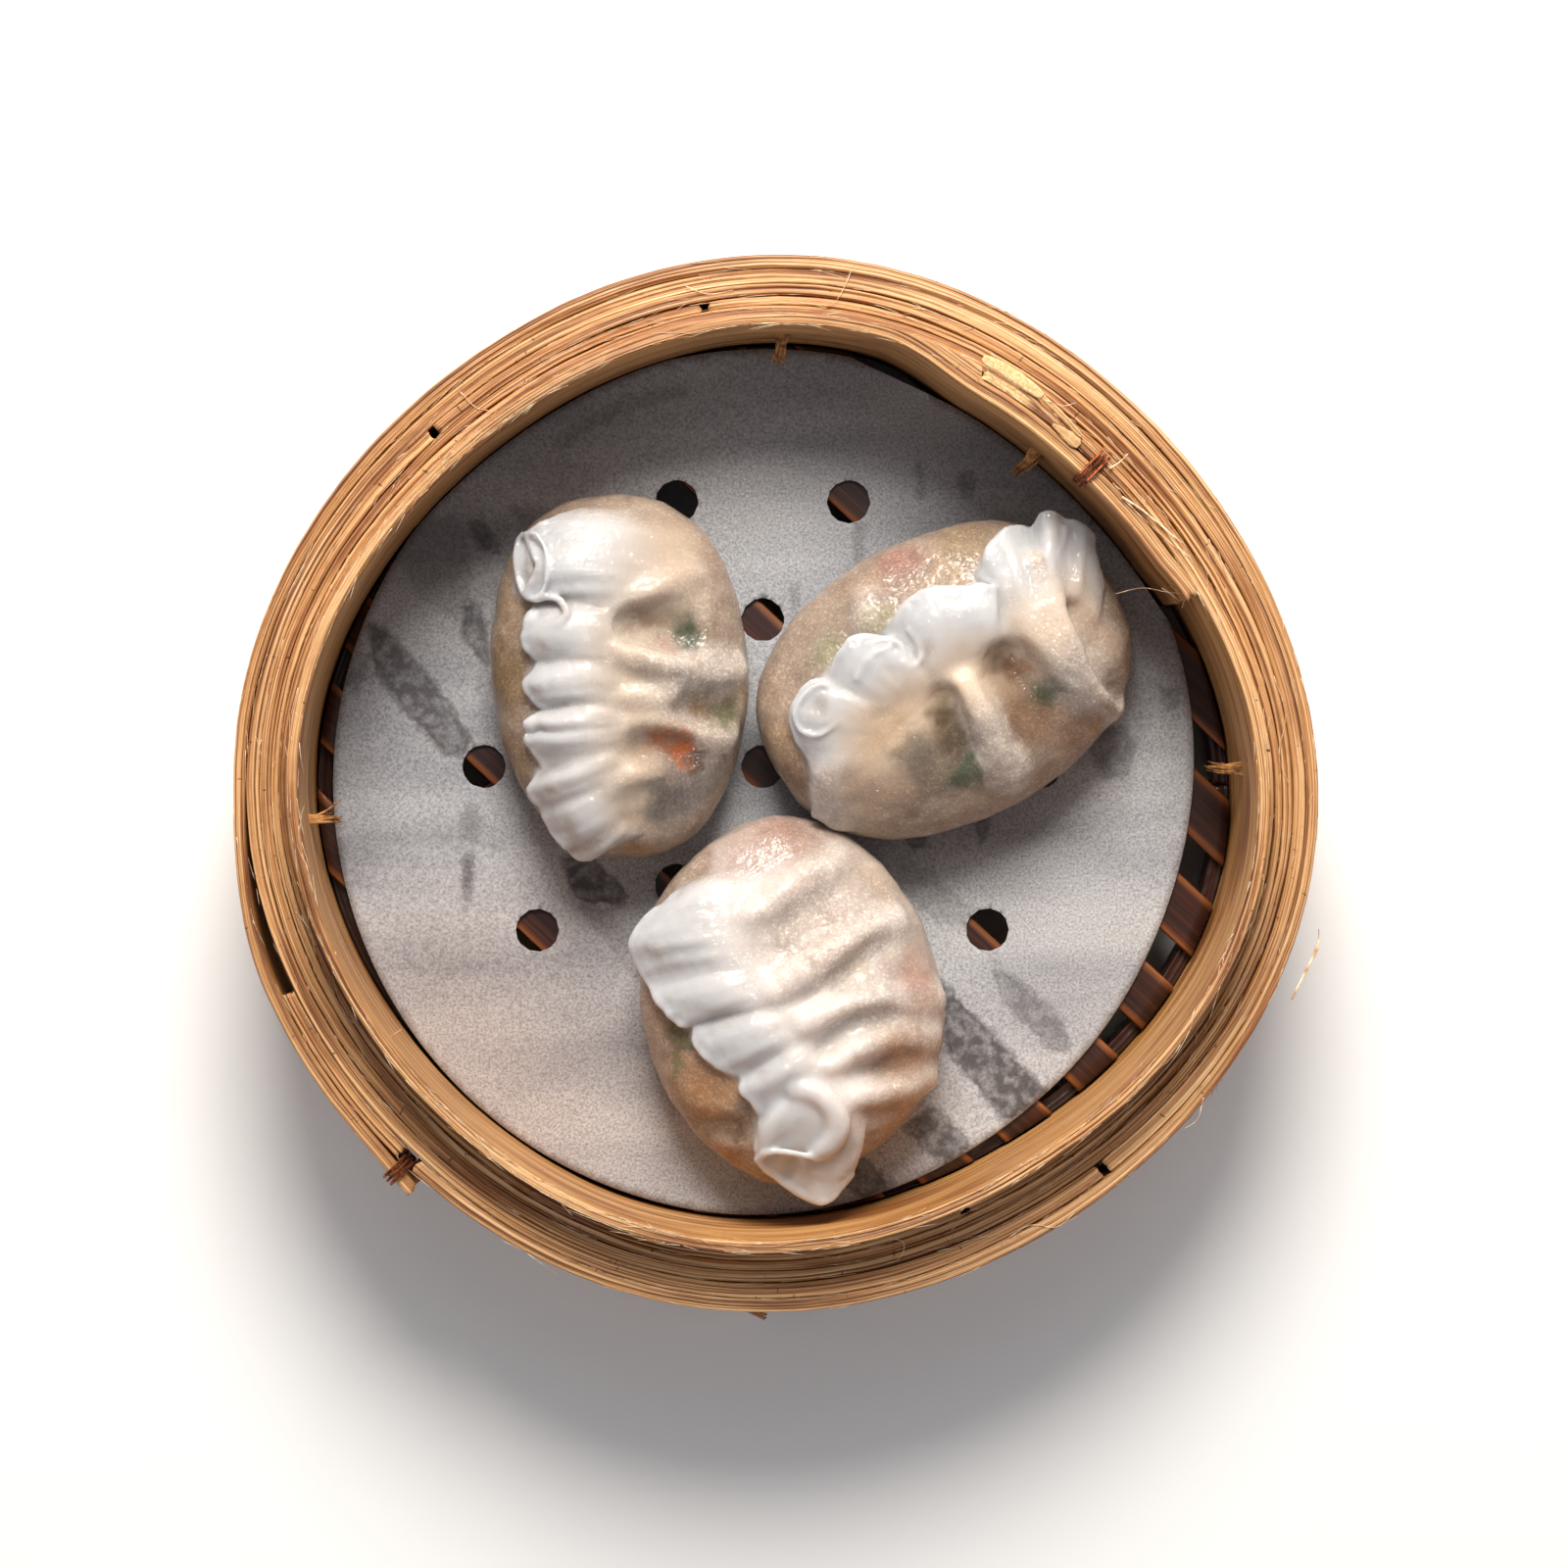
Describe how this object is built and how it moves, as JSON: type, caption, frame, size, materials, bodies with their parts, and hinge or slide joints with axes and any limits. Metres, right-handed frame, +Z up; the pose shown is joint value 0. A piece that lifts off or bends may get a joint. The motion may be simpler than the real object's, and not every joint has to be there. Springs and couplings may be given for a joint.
{
  "type": "dumplings in a bamboo steamer basket",
  "caption": "Steamed crystal-skin chiu chow dumplings with pleated crests, on a perforated paper liner in a small round open bamboo steamer basket.",
  "frame": {"origin": "middle of the footprint box, on the surface that the steamer stands on", "axes": "+Z up out of the open basket; seen from above with +Y away from the viewer, the three dumplings lie left, right and front, and the strip ends stand out at the front and front left"},
  "size_m": [0.1723, 0.173, 0.0508],
  "materials": {
    "bamboo": "split bamboo strip, pale yellow-orange with fine brown fibres and fuzzy edges",
    "stained_bamboo": "dark brown steamed bamboo slat, damp satin",
    "cane": "frayed brown cane strip",
    "copper_wire": "dull copper wire",
    "paper": "speckled greaseproof paper, damp in places",
    "dumpling_skin": "wet translucent starch skin, milky crest, the filling showing through in tan, grey, orange and green"
  },
  "bodies": {
    "root": {"inner_hoop": "bamboo", "band_hoop_1": "bamboo", "band_hoop_2": "bamboo", "band_hoop_3": "bamboo", "band_hoop_4": "bamboo", "outer_hoop_1": "bamboo", "outer_hoop_2": "bamboo", "base_hoop": "bamboo", "floor_ring": "bamboo", "crossbar_1": "stained_bamboo", "crossbar_2": "stained_bamboo", "slat_1": "stained_bamboo", "slat_2": "stained_bamboo", "slat_3": "stained_bamboo", "slat_4": "stained_bamboo", "slat_5": "stained_bamboo", "slat_6": "stained_bamboo", "slat_7": "stained_bamboo", "slat_8": "stained_bamboo", "slat_9": "stained_bamboo", "liner": "paper", "tie_rim": "copper_wire", "tie_outer": "copper_wire", "tie_base": "copper_wire", "stitch_1": "cane", "stitch_2": "cane", "stitch_3": "cane", "stitch_4": "cane", "dumpling_left": "dumpling_skin", "dumpling_right": "dumpling_skin", "dumpling_front": "dumpling_skin"}
  },
  "joints": []
}
